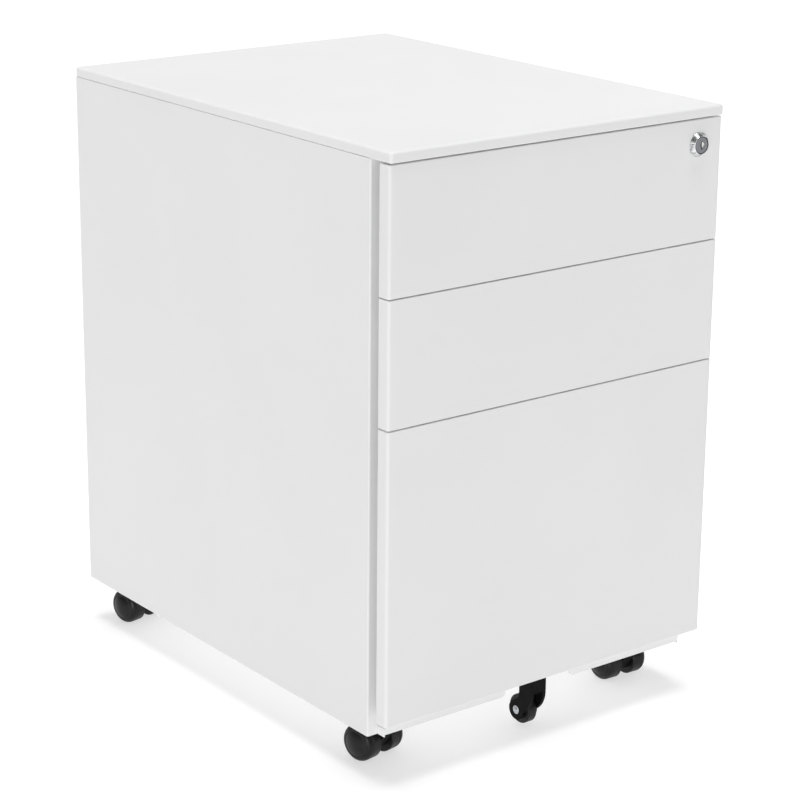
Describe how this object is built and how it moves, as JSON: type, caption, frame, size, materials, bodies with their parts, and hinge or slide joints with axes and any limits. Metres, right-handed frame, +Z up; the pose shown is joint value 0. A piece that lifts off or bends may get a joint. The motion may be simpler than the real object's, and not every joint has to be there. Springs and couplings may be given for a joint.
{
  "type": "mobile filing cabinet",
  "caption": "White steel mobile pedestal: shallow drawers above a deep file drawer, handle-free fronts with finger grooves, a gang lock, swivel casters and an anti-tip wheel.",
  "frame": {"origin": "on the floor, under the middle of the bounding box", "axes": "+Z up, -Y the way the drawers open, +X to the right when facing the drawer fronts"},
  "size_m": [0.39, 0.523, 0.59],
  "materials": {
    "white_paint": "white powder coat, fine orange-peel texture, satin",
    "slide_steel": "zinc-plated rolled steel with a light film of grease",
    "zinc_plate": "bright zinc plate",
    "chrome_plate": "polished chrome plate over a zinc die casting",
    "lock_steel": "turned and brushed, darker than the housing",
    "black_nylon": "black moulded nylon, satin"
  },
  "bodies": {
    "carcass": {"top_panel": "white_paint", "left_side_panel": "white_paint", "right_side_panel": "white_paint", "back_panel": "white_paint", "base_panel": "white_paint", "rear_posts": "white_paint", "top_front_rail": "white_paint", "lock_bar_guides": "zinc_plate", "caster_plates": "zinc_plate", "drawer_1_left_cabinet_rail": "slide_steel", "drawer_1_right_cabinet_rail": "slide_steel", "drawer_2_left_cabinet_rail": "slide_steel", "drawer_2_right_cabinet_rail": "slide_steel", "file_drawer_left_cabinet_rail": "slide_steel", "file_drawer_right_cabinet_rail": "slide_steel"},
    "drawer_1": {"drawer_1_front": "white_paint", "drawer_1_box": "white_paint", "drawer_1_lock_stud": "zinc_plate", "drawer_1_left_drawer_rail": "slide_steel", "drawer_1_right_drawer_rail": "slide_steel", "lock_housing": "chrome_plate", "lock_nut": "chrome_plate"},
    "drawer_2": {"drawer_2_front": "white_paint", "drawer_2_box": "white_paint", "drawer_2_lock_stud": "zinc_plate", "drawer_2_left_drawer_rail": "slide_steel", "drawer_2_right_drawer_rail": "slide_steel"},
    "file_drawer": {"file_drawer_front": "white_paint", "file_drawer_box": "white_paint", "file_drawer_lock_stud": "zinc_plate", "file_drawer_left_drawer_rail": "slide_steel", "file_drawer_right_drawer_rail": "slide_steel", "file_rails": "zinc_plate", "antitip_fork": "black_nylon", "antitip_axle": "zinc_plate"},
    "file_drawer_middle_rails": {"file_drawer_middle_rails": "slide_steel"},
    "drawer_1_ball_cages": {"drawer_1_ball_cages": "slide_steel"},
    "drawer_2_ball_cages": {"drawer_2_ball_cages": "slide_steel"},
    "file_drawer_outer_ball_cages": {"file_drawer_outer_ball_cages": "slide_steel"},
    "file_drawer_inner_ball_cages": {"file_drawer_inner_ball_cages": "slide_steel"},
    "lock_plug": {"lock_plug": "lock_steel", "lock_crank": "zinc_plate"},
    "lock_bar": {"lock_bar": "zinc_plate"},
    "antitip_wheel": {"antitip_wheel": "black_nylon"},
    "front_left_caster": {"front_left_caster_hood": "black_nylon", "front_left_caster_axle": "zinc_plate"},
    "front_left_caster_left_wheel": {"front_left_caster_left_wheel": "black_nylon"},
    "front_left_caster_right_wheel": {"front_left_caster_right_wheel": "black_nylon"},
    "front_right_caster": {"front_right_caster_hood": "black_nylon", "front_right_caster_axle": "zinc_plate"},
    "front_right_caster_left_wheel": {"front_right_caster_left_wheel": "black_nylon"},
    "front_right_caster_right_wheel": {"front_right_caster_right_wheel": "black_nylon"},
    "rear_left_caster": {"rear_left_caster_hood": "black_nylon", "rear_left_caster_axle": "zinc_plate"},
    "rear_left_caster_left_wheel": {"rear_left_caster_left_wheel": "black_nylon"},
    "rear_left_caster_right_wheel": {"rear_left_caster_right_wheel": "black_nylon"},
    "rear_right_caster": {"rear_right_caster_hood": "black_nylon", "rear_right_caster_axle": "zinc_plate"},
    "rear_right_caster_left_wheel": {"rear_right_caster_left_wheel": "black_nylon"},
    "rear_right_caster_right_wheel": {"rear_right_caster_right_wheel": "black_nylon"}
  },
  "joints": [
    {"name": "drawer_1_slide", "type": "slide", "parent": "carcass", "child": "drawer_1", "axis": [0, -1, 0], "range_m": [0, 0.3]},
    {"name": "drawer_2_slide", "type": "slide", "parent": "carcass", "child": "drawer_2", "axis": [0, -1, 0], "range_m": [0, 0.3]},
    {"name": "file_drawer_slide", "type": "slide", "parent": "carcass", "child": "file_drawer", "axis": [0, -1, 0], "range_m": [0, 0.42]},
    {"name": "file_drawer_middle_rail_slide", "type": "slide", "parent": "carcass", "child": "file_drawer_middle_rails", "axis": [0, -1, 0], "range_m": [0, 0.21]},
    {"name": "drawer_1_cage_slide", "type": "slide", "parent": "carcass", "child": "drawer_1_ball_cages", "axis": [0, -1, 0], "range_m": [0, 0.15]},
    {"name": "drawer_2_cage_slide", "type": "slide", "parent": "carcass", "child": "drawer_2_ball_cages", "axis": [0, -1, 0], "range_m": [0, 0.15]},
    {"name": "file_drawer_outer_cage_slide", "type": "slide", "parent": "carcass", "child": "file_drawer_outer_ball_cages", "axis": [0, -1, 0], "range_m": [0, 0.105]},
    {"name": "file_drawer_inner_cage_slide", "type": "slide", "parent": "carcass", "child": "file_drawer_inner_ball_cages", "axis": [0, -1, 0], "range_m": [0, 0.315]},
    {"name": "lock_turn", "type": "hinge", "parent": "drawer_1", "child": "lock_plug", "pos_m": [0.1655, -0.2569, 0.5548], "axis": [0, -1, 0], "range_deg": [0, 90]},
    {"name": "lock_bar_slide", "type": "slide", "parent": "carcass", "child": "lock_bar", "axis": [-1, 0, 0], "range_m": [0, 0.0065]},
    {"name": "antitip_wheel_spin", "type": "hinge", "parent": "file_drawer", "child": "antitip_wheel", "pos_m": [0, -0.2198, 0.0174], "axis": [1, 0, 0], "continuous": true},
    {"name": "front_left_caster_swivel", "type": "hinge", "parent": "carcass", "child": "front_left_caster", "pos_m": [-0.152, -0.2015, 0.0497], "axis": [0, 0, 1], "continuous": true},
    {"name": "front_left_caster_left_wheel_spin", "type": "hinge", "parent": "front_left_caster", "child": "front_left_caster_left_wheel", "pos_m": [-0.15478, -0.18574, 0.018], "axis": [0.9848, 0.1736, 0], "continuous": true},
    {"name": "front_left_caster_right_wheel_spin", "type": "hinge", "parent": "front_left_caster", "child": "front_left_caster_right_wheel", "pos_m": [-0.15478, -0.18574, 0.018], "axis": [0.9848, 0.1736, 0], "continuous": true},
    {"name": "front_right_caster_swivel", "type": "hinge", "parent": "carcass", "child": "front_right_caster", "pos_m": [0.152, -0.2015, 0.0497], "axis": [0, 0, 1], "continuous": true},
    {"name": "front_right_caster_left_wheel_spin", "type": "hinge", "parent": "front_right_caster", "child": "front_right_caster_left_wheel", "pos_m": [0.15284, -0.18552, 0.018], "axis": [0.9986, -0.0523, 0], "continuous": true},
    {"name": "front_right_caster_right_wheel_spin", "type": "hinge", "parent": "front_right_caster", "child": "front_right_caster_right_wheel", "pos_m": [0.15284, -0.18552, 0.018], "axis": [0.9986, -0.0523, 0], "continuous": true},
    {"name": "rear_left_caster_swivel", "type": "hinge", "parent": "carcass", "child": "rear_left_caster", "pos_m": [-0.152, 0.2125, 0.0497], "axis": [0, 0, 1], "continuous": true},
    {"name": "rear_left_caster_left_wheel_spin", "type": "hinge", "parent": "rear_left_caster", "child": "rear_left_caster_left_wheel", "pos_m": [-0.15478, 0.22826, 0.018], "axis": [0.9848, 0.1736, 0], "continuous": true},
    {"name": "rear_left_caster_right_wheel_spin", "type": "hinge", "parent": "rear_left_caster", "child": "rear_left_caster_right_wheel", "pos_m": [-0.15478, 0.22826, 0.018], "axis": [0.9848, 0.1736, 0], "continuous": true},
    {"name": "rear_right_caster_swivel", "type": "hinge", "parent": "carcass", "child": "rear_right_caster", "pos_m": [0.152, 0.2125, 0.0497], "axis": [0, 0, 1], "continuous": true},
    {"name": "rear_right_caster_left_wheel_spin", "type": "hinge", "parent": "rear_right_caster", "child": "rear_right_caster_left_wheel", "pos_m": [0.15088, 0.22846, 0.018], "axis": [0.9976, 0.0698, 0], "continuous": true},
    {"name": "rear_right_caster_right_wheel_spin", "type": "hinge", "parent": "rear_right_caster", "child": "rear_right_caster_right_wheel", "pos_m": [0.15088, 0.22846, 0.018], "axis": [0.9976, 0.0698, 0], "continuous": true}
  ],
  "couplings": [
    {"joint": "drawer_1_cage_slide", "follows": "drawer_1_slide", "ratio": 0.5},
    {"joint": "drawer_2_cage_slide", "follows": "drawer_2_slide", "ratio": 0.5},
    {"joint": "file_drawer_middle_rail_slide", "follows": "file_drawer_slide", "ratio": 0.5},
    {"joint": "file_drawer_outer_cage_slide", "follows": "file_drawer_slide", "ratio": 0.25},
    {"joint": "file_drawer_inner_cage_slide", "follows": "file_drawer_slide", "ratio": 0.75},
    {"joint": "lock_turn", "follows": "lock_bar_slide", "rad_per_m": 241.48}
  ]
}
